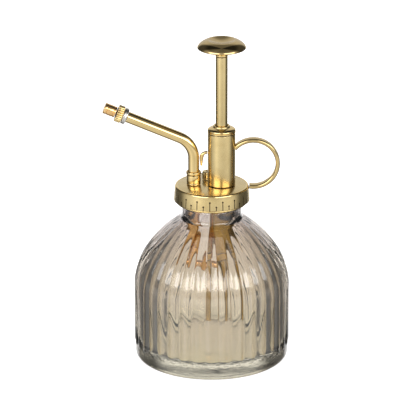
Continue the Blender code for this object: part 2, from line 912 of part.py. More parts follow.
def nozzle(axis):
    at = (0.0, 0.0)
    bore = spout_radius - spout_wall
    collar_top = gap + collar_length
    stub_top = collar_top + collar_stub_length
    corners = [
        (collar_stub, stub_top),
        (collar_stub, collar_top),
        (collar_radius, collar_top, 0.0003),
        (collar_radius, gap, 0.0003),
        (bore, gap),
        (bore, stub_top),
    ]
    turned("spout_end_ring", outline(corners, 2), "steel", at, round_steps, axis)
    ring_bottom = collar_top + gap
    ring_top = ring_bottom + knurl_length
    ring_bore = collar_stub + gap
    knurled_ring(ring_bore, ring_bottom, ring_top, axis)
    seal_top = ring_top - gap
    points = tube_points(collar_stub - gap, bore, stub_top + gap + nozzle_seal_thickness, stub_top + gap)
    turned("nozzle_seal", points, "rubber", at, small_steps, axis)
    tip_bottom = max(ring_top, stub_top + 2 * gap + nozzle_seal_thickness) + gap
    tip_top = tip_bottom + tip_length
    tip_bore = tip_radius - tip_wall
    corners = [
        (tip_radius, tip_top, 0.0004),
        (tip_radius, tip_bottom),
        (tip_bore, tip_bottom),
        (tip_bore, tip_top - tip_front),
        (spray_hole, tip_top - tip_front),
        (spray_hole, tip_top),
    ]
    turned("nozzle_tip", outline(corners), "copper", at, round_steps, axis)
    swirl_core(tip_bore - gap, tip_top - tip_front - gap - core_length, axis)


def knurled_ring(bore, bottom, top, axis):
    bm = bmesh.new()
    steps = 2 * knurl_count
    for radius, height in ((1.0, bottom), (1.0, top)):
        bmesh.ops.create_circle(
            bm, segments=steps, radius=knurl_radius * radius, matrix=Matrix.Translation((0.0, 0.0, height))
        )
    for vert in bm.verts:
        index = round(math.atan2(vert.co.y, vert.co.x) / math.tau * steps)
        share = 1.0 - knurl_depth / knurl_radius * (index % 2)
        vert.co.x *= share
        vert.co.y *= share
    bmesh.ops.bridge_loops(bm, edges=bm.edges)
    bmesh.ops.holes_fill(bm, edges=bm.edges)
    bmesh.ops.recalc_face_normals(bm, faces=bm.faces)
    made = add_object("knurled_ring", mesh_from("knurled_ring", bm), "polished_brass", axis)
    cutter = rod_cutter("knurled_ring_bore", bore, bottom - gap, top + gap, (0.0, 0.0), small_steps)
    cutter.parent = axis
    boolean(made, cutter)


def swirl_core(radius, bottom, axis):
    points = [(0.0, bottom + core_length), (radius, bottom + core_length), (radius, bottom), (0.0, bottom)]
    made = turned("swirl_core", points, "steel", (0.0, 0.0), small_steps, axis)
    for i, side in enumerate((-1.0, 1.0)):
        bm = bmesh.new()
        bmesh.ops.create_cube(bm, size=1.0)
        size = Vector((2 * core_slot, core_slot * 2, 2 * core_length))
        bmesh.ops.scale(bm, vec=size, verts=bm.verts)
        place = (side * radius, 0.0, bottom + core_length / 2)
        bmesh.ops.translate(bm, vec=place, verts=bm.verts)
        cutter = add_object(f"core_slot_{i}", mesh_from("core_slot", bm), None, axis)
        boolean(made, cutter)


# ---- finger ring --------------------------------------------------------
def finger_ring():
    half = finger_band / 2
    wide = finger_width / 2
    edge = 0.3 * finger_band
    corners = [(-half, -wide, edge), (half, -wide, edge), (half, wide, edge), (-half, wide, edge)]
    section = outline(corners, 2)
    bm = bmesh.new()
    verts = [bm.verts.new((finger_radius + p.x, p.y, 0.0)) for p in section]
    face = bm.faces.new(verts)
    bmesh.ops.spin(
        bm,
        geom=[face, *face.edges, *face.verts],
        cent=(0.0, 0.0, 0.0),
        axis=(0.0, -1.0, 0.0),
        angle=finger_end - finger_start,
        steps=26,
    )
    turn = Matrix.Rotation(-finger_start, 3, "Y")
    bmesh.ops.rotate(bm, verts=bm.verts, matrix=turn)
    bmesh.ops.recalc_face_normals(bm, faces=bm.faces)
    made = add_object("finger_ring", mesh_from("finger_ring", bm), "satin_brass")
    made.location = (finger_x, 0.0, finger_z)
    low = skirt_bottom
    high = finger_z
    boolean(made, rod_cutter("finger_cap_cut", cap_radius + skirt_flare, low, high, (0.0, 0.0), cap_steps))
    sleeve = rod_cutter(
        "finger_sleeve_cut", sleeve_radius + gap, deck_top, gland_top, (pump_x, 0.0)
    )
    boolean(made, sleeve)


clear_scene()
parts = new_collection("hand_mister")
cutters = new_collection("cutters")
glass_bottle()
neck_gasket()
cap_shell()
cap_liner()
pump_barrel()
gland_nut()
plunger()
button()
return_spring()
valve_housing()
inlet_cage()
dip_tube()
outlet_manifold()
outlet_valve()
outlet_duct()
spout_socket()
spout_tube()
spout_brace()
vent_post()
nozzle(nozzle_axis())
finger_ring()
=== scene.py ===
import json
import math
import bmesh
import bpy
from mathutils import Matrix, Vector, noise


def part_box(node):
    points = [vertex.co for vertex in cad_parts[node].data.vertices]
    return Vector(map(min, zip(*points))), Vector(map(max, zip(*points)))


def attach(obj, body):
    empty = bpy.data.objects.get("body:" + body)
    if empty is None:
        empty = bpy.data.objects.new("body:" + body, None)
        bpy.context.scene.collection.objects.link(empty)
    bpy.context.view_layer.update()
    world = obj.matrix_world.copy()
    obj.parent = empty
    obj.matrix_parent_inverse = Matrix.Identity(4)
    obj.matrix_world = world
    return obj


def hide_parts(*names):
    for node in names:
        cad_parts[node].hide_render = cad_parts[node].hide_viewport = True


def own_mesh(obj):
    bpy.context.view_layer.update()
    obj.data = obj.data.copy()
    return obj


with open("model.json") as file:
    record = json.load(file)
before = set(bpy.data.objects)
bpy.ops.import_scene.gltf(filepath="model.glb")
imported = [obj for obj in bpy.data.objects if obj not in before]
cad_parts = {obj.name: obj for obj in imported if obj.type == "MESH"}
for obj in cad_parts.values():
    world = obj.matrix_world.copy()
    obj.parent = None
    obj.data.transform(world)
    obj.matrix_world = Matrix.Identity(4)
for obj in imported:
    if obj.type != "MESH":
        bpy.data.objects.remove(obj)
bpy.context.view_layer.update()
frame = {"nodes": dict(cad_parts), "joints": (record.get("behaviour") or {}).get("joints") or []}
scene = bpy.context.scene
mm = 0.001
up = (0.0, 0.0, 1.0)
print("frame loaded:", len(frame["nodes"]), "nodes")

# where the turned parts stand: the pump, the spout's foot and the nozzle's own line
pumpX = sum(corner.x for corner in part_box("plunger_rod")) / 2
spoutX = sum(corner.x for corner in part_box("spout_socket")) / 2
nozzleJoint = next(joint for joint in frame["joints"] if joint["name"] == "nozzle_turn")
nozzleEnd = Vector(nozzleJoint["pos_m"])
nozzleLine = Vector(nozzleJoint["axis"]).normalized()
nozzlePlace = Matrix.Translation(nozzleEnd) @ nozzleLine.to_track_quat("Z", "Y").to_matrix().to_4x4()
pumpPlace = Matrix.Translation((pumpX, 0.0, 0.0))
spoutPlace = Matrix.Translation((spoutX, 0.0, 0.0))


# ---- node helpers
def newMaterial(name):
    made = bpy.data.materials.new(name)
    made.use_nodes = True
    return made, made.node_tree, made.node_tree.nodes["Principled BSDF"]


def addNode(tree, kind, inputs=None, **values):
    node = tree.nodes.new("ShaderNode" + kind)
    for key, value in values.items():
        setattr(node, key, value)
    for key, value in (inputs or {}).items():
        if isinstance(value, bpy.types.NodeSocket):
            tree.links.new(value, node.inputs[key])
        else:
            node.inputs[key].default_value = value
    return node


def rampNode(tree, source, stops):
    # stops are (place, grey or colour)
    node = addNode(tree, "ValToRGB", {0: source})
    ramp = node.color_ramp
    while len(ramp.elements) < len(stops):
        ramp.elements.new(0.5)
    for element, (place, value) in zip(ramp.elements, stops):
        element.position = place
        colour = value if isinstance(value, tuple) else (value, value, value)
        element.color = (*colour, 1.0)
    return node.outputs["Color"]


def mathNode(tree, operation, first, second=0.0):
    return addNode(tree, "Math", {0: first, 1: second}, operation=operation).outputs[0]


def noiseNode(tree, points, detail, roughness, scale=1.0):
    return addNode(tree, "TexNoise", {
        "Vector": points, "Scale": scale, "Detail": detail, "Roughness": roughness}).outputs["Fac"]


def objectPoints(tree, scale, centre=(0.0, 0.0, 0.0), turn=(0.0, 0.0, 0.0)):
    # object coordinates in millimetres times scale, measured from a centre
    where = addNode(tree, "TexCoord").outputs["Object"]
    size = [s / mm for s in scale]
    moved = addNode(tree, "Mapping", {
        "Vector": where,
        "Location": [-c * s for c, s in zip(centre, size)],
        "Rotation": turn,
        "Scale": size,
    })
    return moved.outputs["Vector"]


# ---- metals
metals = {
    "satinBrass": dict(
        light=(0.72, 0.57, 0.285), dark=(0.65, 0.50, 0.235), edge=(0.84, 0.70, 0.40),
        rough=(0.20, 0.27), lines=0.012, grain=0.015, slot="satin_brass"),
    "polishedBrass": dict(
        light=(0.80, 0.61, 0.29), dark=(0.72, 0.53, 0.23), edge=(0.92, 0.76, 0.44),
        rough=(0.05, 0.09), lines=0.015, grain=0.01, slot="polished_brass"),
    # painted shade: the polished brass made darker for the finger ring
    "ringShadedBrass": dict(
        light=(0.66, 0.50, 0.235), dark=(0.56, 0.42, 0.19), edge=(0.80, 0.64, 0.36),
        rough=(0.05, 0.09), lines=0.02, grain=0.015, slot="satin_brass"),
    "barrelBrass": dict(
        light=(0.62, 0.44, 0.17), dark=(0.54, 0.37, 0.13), edge=(0.80, 0.62, 0.30),
        rough=(0.12, 0.20), lines=0.02, grain=0.015, slot="polished_brass"),
    "tubeBrass": dict(
        light=(0.60, 0.43, 0.16), dark=(0.52, 0.36, 0.12), edge=(0.78, 0.60, 0.30),
        rough=(0.18, 0.26), lines=0.012, grain=0.015, slot="satin_brass"),
    # painted shade: the button's brass darkened as if it mirrored a dark room
    "shadedButtonBrass": dict(
        light=(0.56, 0.42, 0.20), dark=(0.46, 0.34, 0.155), edge=(0.90, 0.76, 0.48),
        rough=(0.07, 0.12), lines=0.01, grain=0.01, slot="dark_bronze"),
    # painted shade: a near-black brass for the engraved tick faces, darkened as if in shadow
    "paintedGrooveShade": dict(
        light=(0.10, 0.072, 0.03), dark=(0.05, 0.035, 0.015), edge=(0.14, 0.10, 0.05),
        rough=(0.35, 0.55), lines=0.05, grain=0.10, slot="satin_brass"),
    "warmCopper": dict(
        light=(0.92, 0.61, 0.28), dark=(0.80, 0.48, 0.19), edge=(0.97, 0.76, 0.45),
        rough=(0.10, 0.18), lines=0.03, grain=0.03, slot="copper"),
    "brightSteel": dict(
        light=(0.70, 0.68, 0.64), dark=(0.58, 0.56, 0.52), edge=(0.85, 0.85, 0.83),
        rough=(0.12, 0.24), lines=0.04, grain=0.04, slot="steel"),
}


def turnedMetal(key, centre=(0.0, 0.0, 0.0), turn=(0.0, 0.0, 0.0), name=None):
    # tool marks run round the axis through centre; turn leans that axis
    look = metals[key]
    made, tree, shader = newMaterial(name or key)
    soft = objectPoints(tree, (0.12, 0.12, 0.12))
    cloud = noiseNode(tree, soft, 4.0, 0.6)
    lines = objectPoints(tree, (0.05, 0.05, 9.0), centre, turn)
    marks = noiseNode(tree, lines, 3.0, 0.7)
    grainPoints = objectPoints(tree, (6.0, 6.0, 6.0))
    grain = noiseNode(tree, grainPoints, 3.0, 0.65)
    tone = rampNode(tree, cloud, [(0.32, look["dark"]), (0.62, look["light"])])
    worn = addNode(tree, "NewGeometry").outputs["Pointiness"]
    wear = rampNode(tree, worn, [(0.56, 0.0), (0.72, 0.25)])
    mixed = addNode(tree, "Mix", {"Factor": wear, "B": (*look["edge"], 1.0)}, data_type="RGBA")
    tree.links.new(tone, mixed.inputs["A"])
    tree.links.new(mixed.outputs["Result"], shader.inputs["Base Color"])
    low, high = look["rough"]
    halfMarks, halfGrain = (mathNode(tree, "MULTIPLY", part, 0.5) for part in (marks, grain))
    uneven = mathNode(tree, "ADD", halfMarks, halfGrain)
    rough = addNode(tree, "MapRange", {
        "Value": uneven, "From Min": 0.3, "From Max": 0.7, "To Min": low, "To Max": high}).outputs["Result"]
    tree.links.new(rough, shader.inputs["Roughness"])
    shader.inputs["Metallic"].default_value = 1.0
    fine = addNode(tree, "Bump", {"Height": marks, "Strength": look["lines"], "Distance": 0.00005})
    rubbed = addNode(tree, "Bump", {
        "Height": grain, "Strength": look["grain"], "Distance": 0.00004, "Normal": fine.outputs["Normal"]})
    tree.links.new(rubbed.outputs["Normal"], shader.inputs["Normal"])
    made["slot"] = look["slot"]
    return made


def plainStuff(name, slot, light, dark, rough, bump):
    # rubber and plastic: mottled colour, uneven gloss and a fine skin
    made, tree, shader = newMaterial(name)
    points = objectPoints(tree, (1.5, 1.5, 1.5))
    cloud = noiseNode(tree, points, 5.0, 0.6)
    fine = noiseNode(tree, points, 3.0, 0.6, 9.0)
    tree.links.new(rampNode(tree, cloud, [(0.35, dark), (0.65, light)]), shader.inputs["Base Color"])
    gloss = addNode(tree, "MapRange", {
        "Value": fine, "From Min": 0.3, "From Max": 0.7, "To Min": rough[0], "To Max": rough[1]})
    tree.links.new(gloss.outputs["Result"], shader.inputs["Roughness"])
    skin = addNode(tree, "Bump", {"Height": fine, "Strength": bump, "Distance": 0.00006})
    tree.links.new(skin.outputs["Normal"], shader.inputs["Normal"])
    made["slot"] = slot
    return made


glassLook = dict(ior=1.50, coat=0.5, coatIor=1.6, waves=0.12, deepest=(0.25, 0.14, 0.08))


def lustreGlass():
    made, tree, shader = newMaterial("lustreGlass")
    # the tint changes up the bottle and deepens where the wall is seen at a glancing angle
    wide = noiseNode(tree, objectPoints(tree, (0.05, 0.05, 0.07)), 3.0, 0.5)
    height = addNode(tree, "SeparateXYZ", {"Vector": objectPoints(tree, (0.012, 0.012, 0.012))}).outputs["Z"]
    drift = mathNode(tree, "ADD", height, mathNode(tree, "MULTIPLY", mathNode(tree, "SUBTRACT", wide, 0.5), 0.35))
    tint = rampNode(tree, drift, [
        (0.03, (0.80, 0.75, 0.58)), (0.24, (0.79, 0.73, 0.625)),
        (0.60, (0.80, 0.715, 0.60)), (0.88, (0.88, 0.82, 0.80))])
    glance = addNode(tree, "LayerWeight", {"Blend": 0.5}).outputs["Facing"]
    depth = rampNode(tree, glance, [(0.45, (1.0, 1.0, 1.0)), (0.97, glassLook["deepest"])])
    tinted = addNode(tree, "Mix", {"Factor": 1.0, "A": tint, "B": depth}, data_type="RGBA", blend_type="MULTIPLY")
    tree.links.new(tinted.outputs["Result"], shader.inputs["Base Color"])
    shader.inputs["IOR"].default_value = glassLook["ior"]
    shader.inputs["Transmission Weight"].default_value = 1.0
    shader.inputs["Coat Weight"].default_value = glassLook["coat"]
    shader.inputs["Coat IOR"].default_value = glassLook["coatIor"]
    shader.inputs["Coat Roughness"].default_value = 0.0
    cords = noiseNode(tree, objectPoints(tree, (0.25, 0.25, 0.06)), 2.0, 0.5)
    # a little frost at the very foot, clear above it
    frosted = rampNode(tree, drift, [(0.02, 0.14), (0.08, 0.0)])
    tree.links.new(frosted, shader.inputs["Roughness"])
    wavy = addNode(tree, "Bump", {"Height": cords, "Strength": glassLook["waves"], "Distance": 0.0004})
    tree.links.new(wavy.outputs["Normal"], shader.inputs["Normal"])
    made["slot"] = "ribbed_glass"
    return made


pumpAxis = (pumpX, 0.0, 0.0)
spoutAxis = (spoutX, 0.0, 0.0)
capBrass = turnedMetal("satinBrass", name="satinBrassCap")
pumpBrass = turnedMetal("satinBrass", pumpAxis, name="satinBrassPump")
barrelBrass = turnedMetal("barrelBrass", pumpAxis)
ringShadedBrass = turnedMetal("ringShadedBrass")
tubeBrass = turnedMetal("tubeBrass", pumpAxis)
pumpPolish = turnedMetal("polishedBrass", pumpAxis, name="polishedBrassPump")
capPolish = turnedMetal("polishedBrass", name="polishedBrassCap")
spoutShine = turnedMetal("polishedBrass", spoutAxis, name="polishedBrassTube")
spoutPolish = turnedMetal("polishedBrass", spoutAxis, name="polishedBrassSpout")
# the thumb button's brass, darkened as painted shade
buttonShadedBrass = turnedMetal("shadedButtonBrass", pumpAxis)
copper = turnedMetal("warmCopper", spoutAxis)
steel = turnedMetal("brightSteel", pumpAxis)
paintedGrooveShade = turnedMetal("paintedGrooveShade")
rubber = plainStuff("sealRubber", "black_rubber", (0.045, 0.044, 0.042), (0.02, 0.02, 0.02), (0.45, 0.75), 0.3)
plastic = plainStuff("bushingPlastic", "white_plastic", (0.82, 0.80, 0.74), (0.74, 0.71, 0.64), (0.25, 0.4), 0.1)
glass = lustreGlass()
print("finishes made:", len(bpy.data.materials))


# ---- shape helpers
def heights(node):
    # a node's lowest and highest points, in millimetres
    return [corner.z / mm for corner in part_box(node)]


def smoothAll(mesh, sharp=38.0):
    mesh.shade_smooth()
    mesh.set_sharp_from_angle(angle=math.radians(sharp))


def finishPiece(name, bm, materials, body, node=None, place=None, sharp=38.0):
    if place is not None:
        bmesh.ops.transform(bm, matrix=place, verts=bm.verts)
    mesh = bpy.data.meshes.new(name)
    bm.to_mesh(mesh)
    bm.free()
    smoothAll(mesh, sharp)
    piece = bpy.data.objects.new(name, mesh)
    scene.collection.objects.link(piece)
    for material in materials if isinstance(materials, (list, tuple)) else [materials]:
        mesh.materials.append(material)
    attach(piece, body)
    if node:
        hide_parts(node)
    return piece


def addProfile(bm, corners, closed):
    # corners are (radius, height) or (radius, height, rounding), in millimetres
    verts = [bm.verts.new((corner[0] * mm, 0.0, corner[1] * mm)) for corner in corners]
    for first, second in zip(verts, verts[1:]):
        bm.edges.new((first, second))
    if closed:
        bm.edges.new((verts[-1], verts[0]))
    for vert, corner in zip(verts, corners):
        if len(corner) == 3:
            bmesh.ops.bevel(
                bm, geom=[vert], affect="VERTICES", offset=corner[2] * mm, segments=4,
                profile=0.5, material=-1, clamp_overlap=True)


def spinRound(bm, steps):
    bmesh.ops.spin(
        bm, geom=bm.verts[:] + bm.edges[:], cent=(0.0, 0.0, 0.0), axis=up,
        angle=math.tau, steps=steps, use_merge=True)
    bmesh.ops.remove_doubles(bm, verts=bm.verts, dist=0.000002)
    bmesh.ops.recalc_face_normals(bm, faces=bm.faces)


def turnShape(corners, steps):
    bm = bmesh.new()
    onAxis = corners[0][0] == 0.0 and corners[-1][0] == 0.0
    addProfile(bm, corners, not onAxis)
    spinRound(bm, steps)
    return bm


def tubeCorners(outer, inner, bottom, top, fillet):
    return [(outer, top, fillet), (outer, bottom, fillet), (inner, bottom, fillet / 2), (inner, top, fillet / 2)]


def cutWith(piece, cutter):
    # a Boolean cut that is applied at once; cut faces take the cutter's finish
    change = piece.modifiers.new("Cut", "BOOLEAN")
    change.operation = "DIFFERENCE"
    change.solver = "EXACT"
    change.material_mode = "TRANSFER"
    change.object = cutter
    bpy.context.view_layer.update()
    made = bpy.data.meshes.new_from_object(piece.evaluated_get(bpy.context.evaluated_depsgraph_get()))
    piece.modifiers.remove(change)
    old = piece.data
    piece.data = made
    bpy.data.meshes.remove(old)
    bpy.data.objects.remove(cutter, do_unlink=True)
    smoothAll(made)


def cutterObject(bm, material):
    mesh = bpy.data.meshes.new("cutter")
    bm.to_mesh(mesh)
    bm.free()
    mesh.materials.append(material)
    made = bpy.data.objects.new("cutter", mesh)
    scene.collection.objects.link(made)
    return made


# ---- bottle
bottle = dict(
    steps=360, ribs=36, ribDepth=1.0, radius=37.5, foot=37.0, footRound=3.0,
    ribStart=6.9, ribTongue=1.9, ribEase=1.1, straightTop=36.3, domeHeight=35.3,
    domeRound=1.82, domeRise=0.98, domeRows=44, wall=2.4, floor=7.5, floorRise=0.9,
    collar=14.2, collarTop=77.2, root=13.4, crest=14.4, bore=12.0, top=84.1,
    threadStart=79.6, threadPitch=3.0, threadTurns=1.1, threadWide=1.5, ribFoot=6.3,
    innerWave=0.10, waveLow=12.0, waveHigh=62.0,
)


def domeLine(wide, narrow, rise, rows):
    points = []
    for row in range(rows + 1):
        angle = math.pi / 2 * row / rows
        radius = narrow + (wide - narrow) * max(math.cos(angle), 0.0) ** bottle["domeRound"]
        points.append((radius, bottle["straightTop"] + rise * math.sin(angle) ** bottle["domeRise"]))
    return points


def bottleProfile():
    b = bottle
    rows = [(0.0, 0.6), (20.0, 0.6), (30.0, 0.35), (33.2, 0.0, 0.6), (b["foot"], 0.0, b["footRound"])]
    rows += [(b["foot"], 6.2)]
    rows += [(b["radius"], 6.5 + 0.35 * i) for i in range(15)]
    rows += [(b["radius"], 12.5 + 3.0 * i) for i in range(8)]
    dome = domeLine(b["radius"], b["collar"], b["domeHeight"], b["domeRows"])
    rows += [point for point in dome if point[0] > b["collar"] + 1.9]
    rows += [(b["collar"], dome[-1][1] - 0.1, 1.5), (b["collar"], 74.5), (b["collar"], b["collarTop"], 0.5)]
    rows += [(b["root"], b["collarTop"] + 0.8, 0.3)]
    rows += [(b["root"], 78.3 + 0.22 * i) for i in range(25)]
    rows += [(b["root"], b["top"], 0.4), (b["bore"], b["top"], 0.4)]
    inner = domeLine(b["radius"] - b["wall"], b["bore"], b["domeHeight"] - b["wall"], 26)
    rows += [(b["bore"], 76.0)] + inner[::-1]
    rows += [(b["radius"] - b["wall"], 30.0), (b["radius"] - b["wall"], 20.0), (b["radius"] - b["wall"], 14.0)]
    rows += [(b["radius"] - b["wall"], b["floor"] - 0.3, 3.4), (26.0, b["floor"]), (14.0, b["floor"] + 0.5)]
    rows += [(0.0, b["floor"] + b["floorRise"])]
    return rows


def ribDrop(angle, height, radius):
    # how far the outer wall sits below the rib's crest at this angle
    b = bottle
    offset = (angle / math.tau * b["ribs"]) % 1.0
    offset = 2.0 * min(offset, 1.0 - offset)
    valley = b["ribDepth"] * (1.0 - math.cos(math.pi / 2 * offset)) ** 0.92
    start = b["ribStart"] + b["ribTongue"] * offset ** 2
    grown = min(max((height - start) / b["ribEase"], 0.0), 1.0)
    grown = grown * grown * (3.0 - 2.0 * grown)
    share = max(radius - b["collar"], 0.0) / (b["radius"] - b["collar"])
    fade = min(1.0, 1.35 * share ** 1.25)
    footDrop = b["radius"] - b["foot"]
    return footDrop + (valley - footDrop) * grown if height < 20.0 else valley * fade


def threadRise(angle, height):
    b = bottle
    turned = (height - b["threadStart"]) / b["threadPitch"]
    nearest = round(turned - angle / math.tau) + angle / math.tau
    if not -0.02 <= nearest <= b["threadTurns"]:
        return 0.0
    away = abs(turned - nearest) * b["threadPitch"] / (b["threadWide"] / 2)
    ends = min(1.0, max(nearest, 0.0) / 0.06, (b["threadTurns"] - nearest) / 0.06)
    return max(0.0, min(1.0, 1.6 * (1.0 - away))) * max(ends, 0.0) * (b["crest"] - b["root"])


def makeBottle():
    b = bottle
    bm = bmesh.new()
    addProfile(bm, bottleProfile(), False)
    spinRound(bm, b["steps"])
    for vert in bm.verts:
        radius = math.hypot(vert.co.x, vert.co.y) / mm
        height = vert.co.z / mm
        if radius < 1.0:
            continue
        angle = (math.atan2(vert.co.y, vert.co.x) + math.tau) % math.tau
        share = max(0.0, min(1.0, (height - b["straightTop"]) / b["domeHeight"]))
        edge = b["collar"] + (b["radius"] - b["collar"]) * math.cos(
            math.asin(share ** (1.0 / b["domeRise"]))) ** b["domeRound"]
        if height > b["collarTop"] and radius > b["root"] - 0.1:
            moved = threadRise(angle, height)
        elif height < b["straightTop"] + b["domeHeight"] and height > b["ribFoot"] and radius > edge - 0.6:
            moved = -ribDrop(angle, height, radius)
        elif b["waveLow"] < height < b["waveHigh"] and radius < edge - 1.0:
            moved = b["innerWave"] * noise.noise(Vector((vert.co.x, vert.co.y, vert.co.z)) * 90.0)
        else:
            continue
        vert.co.x *= (radius + moved) / radius
        vert.co.y *= (radius + moved) / radius
    bmesh.ops.recalc_face_normals(bm, faces=bm.faces)
    return finishPiece("ribbedBottle", bm, glass, "bottle", "glass_bottle", sharp=60.0)


makeBottle()
print("bottle blown")

# ---- cap
cap = dict(
    steps=180, radius=17.7, flare=18.274, inner=16.2, rim=0.9, edge=0.3, ticks=36,
    tickWide=0.40, tickDeep=0.35, longTick=4.3, shortTick=2.1, dot=0.46, tickTurn=-93.0,
    deckRing=16.4, pumpHole=6.0, spoutHole=2.4, ventHole=0.8,
)
capLow, capHigh = heights("cap_shell")


def tickCutter(dots):
    # engraved marks that rise from the skirt's lower edge, long and short in turn, each with a drilled end
    bm = bmesh.new()
    lean = math.atan2(cap["flare"] - cap["radius"], capHigh - capLow - cap["rim"])
    for index in range(cap["ticks"]):
        length = cap["longTick"] if index % 2 == 0 else cap["shortTick"]
        if dots:
            height = length
            verts = bmesh.ops.create_uvsphere(bm, u_segments=14, v_segments=8, radius=cap["dot"] * mm)["verts"]
        else:
            height = (length - 1.0) / 2
            verts = bmesh.ops.create_cube(bm, size=mm)["verts"]
            size = (2 * cap["tickDeep"], cap["tickWide"], length + 1.0)
            bmesh.ops.scale(bm, vec=size, verts=verts)
        wall = cap["flare"] - height * math.tan(lean)
        place = (
            Matrix.Rotation(math.radians(cap["tickTurn"]) + math.tau * index / cap["ticks"], 4, "Z")
            @ Matrix.Translation((wall * mm, 0.0, (capLow + height) * mm))
            @ Matrix.Rotation(-lean, 4, "Y"))
        bmesh.ops.transform(bm, matrix=place, verts=verts)
    # the cutter hands its near-black finish to the tick faces: painted shade in the grooves
    return cutterObject(bm, paintedGrooveShade)


def holeCutter(radius, x, y, bottom, top, steps=64):
    bm = turnShape([(0.0, bottom), (radius, bottom), (radius, top), (0.0, top)], steps)
    bmesh.ops.translate(bm, vec=(x, y, 0.0), verts=bm.verts)
    return cutterObject(bm, capBrass)


def capOutline(grow=0.0):
    c = cap
    return [
        (0.0, capHigh + grow), (c["deckRing"] - 0.35, capHigh + grow), (c["deckRing"], capHigh + grow - 0.12, 0.1),
        (c["deckRing"] + 0.2, capHigh + grow, 0.1), (c["radius"] + grow, capHigh + grow, c["rim"]),
        (c["flare"] + grow, capLow - grow, c["edge"])]


def makeCap():
    c = cap
    low = heights("cap_liner")[1] + 0.3
    corners = capOutline() + [(c["inner"], capLow, 0.2), (c["inner"], low, 0.5), (0.0, low)]
    bm = turnShape(corners, c["steps"])
    for face in bm.faces:
        middle = face.calc_center_median() / mm
        face.material_index = 1 if middle.z > capHigh - 1.2 and middle.xy.length > c["deckRing"] + 0.15 else 0
    # the third finish is the painted shade of the engraved ticks
    piece = finishPiece("capShell", bm, [capBrass, capPolish, paintedGrooveShade], "head", "cap_shell")
    cutWith(piece, tickCutter(False))
    cutWith(piece, tickCutter(True))
    ventLow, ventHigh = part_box("vent_post")
    holes = ((c["pumpHole"], pumpX / mm, 0.0), (c["spoutHole"], spoutX / mm, 0.0),
             (c["ventHole"], (ventLow.x + ventHigh.x) / 2 / mm, (ventLow.y + ventHigh.y) / 2 / mm))
    for radius, x, y in holes:
        cutWith(piece, holeCutter(radius, x * mm, y * mm, low - 2.0, capHigh + 2.0))
    return piece


makeCap()
lip = dict(outer=17.0, wall=15.9, root=14.8)
linerLow, linerHigh = heights("cap_liner")
finishPiece("capLiner", turnShape([
    (lip["wall"], linerHigh, 0.2), (lip["wall"], linerLow + 1.0, 0.15), (lip["outer"], linerLow + 1.0, 0.4),
    (lip["outer"], linerLow, 0.4), (lip["root"], linerLow, 0.2), (lip["root"], linerHigh, 0.2)], 160),
    capPolish, "head", "cap_liner")
print("cap turned")

# ---- pump barrel, gland nut and plunger
sleeve = dict(outer=6.65, inner=6.0)
low, high = heights("pump_sleeve")
finishPiece("pumpSleeve", turnShape(tubeCorners(sleeve["outer"], sleeve["inner"], low, high, 0.25), 128),
            pumpBrass, "head", "pump_sleeve", pumpPlace)

low, high = heights("pump_cylinder")
barrel = dict(outer=5.7, bore=4.7, floor=1.5, port=2.1)
finishPiece("pumpCylinder", turnShape([
    (barrel["outer"], high, 0.1), (barrel["outer"], low, 0.3), (barrel["port"], low, 0.1),
    (barrel["port"], low + barrel["floor"], 0.1), (barrel["bore"], low + barrel["floor"], 0.2),
    (barrel["bore"], high, 0.1)], 128), barrelBrass, "head", "pump_cylinder", pumpPlace)

low, high = heights("gland_nut")
gland = dict(wide=6.75, top=4.1, groove=0.45, pocket=5.275, bore=3.175)
finishPiece("glandNut", turnShape([
    (gland["top"], high, 0.5), (gland["top"], high - 0.85, 0.2), (gland["top"] + 0.5, high - 1.0, 0.2),
    (gland["wide"] - 0.9, high - 1.35, 0.6), (gland["wide"], high - 2.1, 0.4), (gland["wide"], high - 2.5, 0.06),
    (gland["wide"] - gland["groove"], high - 2.7, 0.06), (gland["wide"], high - 2.9, 0.06),
    (gland["wide"], low, 0.12), (gland["pocket"], low), (gland["pocket"], low + 0.9), (gland["bore"], low + 0.9),
    (gland["bore"], high, 0.2)], 128), pumpPolish, "head", "gland_nut", pumpPlace)

low, high = heights("plunger_rod")
rod = dict(radius=2.875, stud=1.6, studLong=5.2, bore=1.1, grip=5.3)
finishPiece("plungerRod", turnShape([
    (0.0, high), (rod["stud"], high, 0.2), (rod["stud"], high - rod["studLong"], 0.1),
    (rod["radius"], high - rod["studLong"], 0.15), (rod["radius"], low, 0.3), (rod["bore"], low, 0.1),
    (rod["bore"], low + rod["grip"]), (0.0, low + rod["grip"])], 96),
    pumpBrass, "plunger", "plunger_rod", pumpPlace)

low, high = heights("button_ferrule")
ferrule = dict(wide=3.15, narrow=2.95, bore=1.9, bead=0.85)
bead = low + ferrule["bead"]
finishPiece("buttonFerrule", turnShape([
    (ferrule["wide"] - 0.15, high, 0.1), (ferrule["wide"], high - 0.25, 0.1), (ferrule["wide"], bead + 0.35, 0.15),
    (ferrule["narrow"] - 0.12, bead + 0.1, 0.08), (ferrule["narrow"] + 0.1, bead - 0.1, 0.15),
    (ferrule["narrow"] + 0.1, low + 0.15, 0.15), (ferrule["narrow"] - 0.05, low, 0.1), (ferrule["bore"], low, 0.1),
    (ferrule["bore"], high, 0.1)], 96), pumpPolish, "plunger", "button_ferrule", pumpPlace)

low, high = heights("button")
knob = dict(widest=11.7, rim=6.4, above=3.7, under=1.3, dish=1.4, foot=2.95, bore=1.9, rows=16, bevel=1.3)


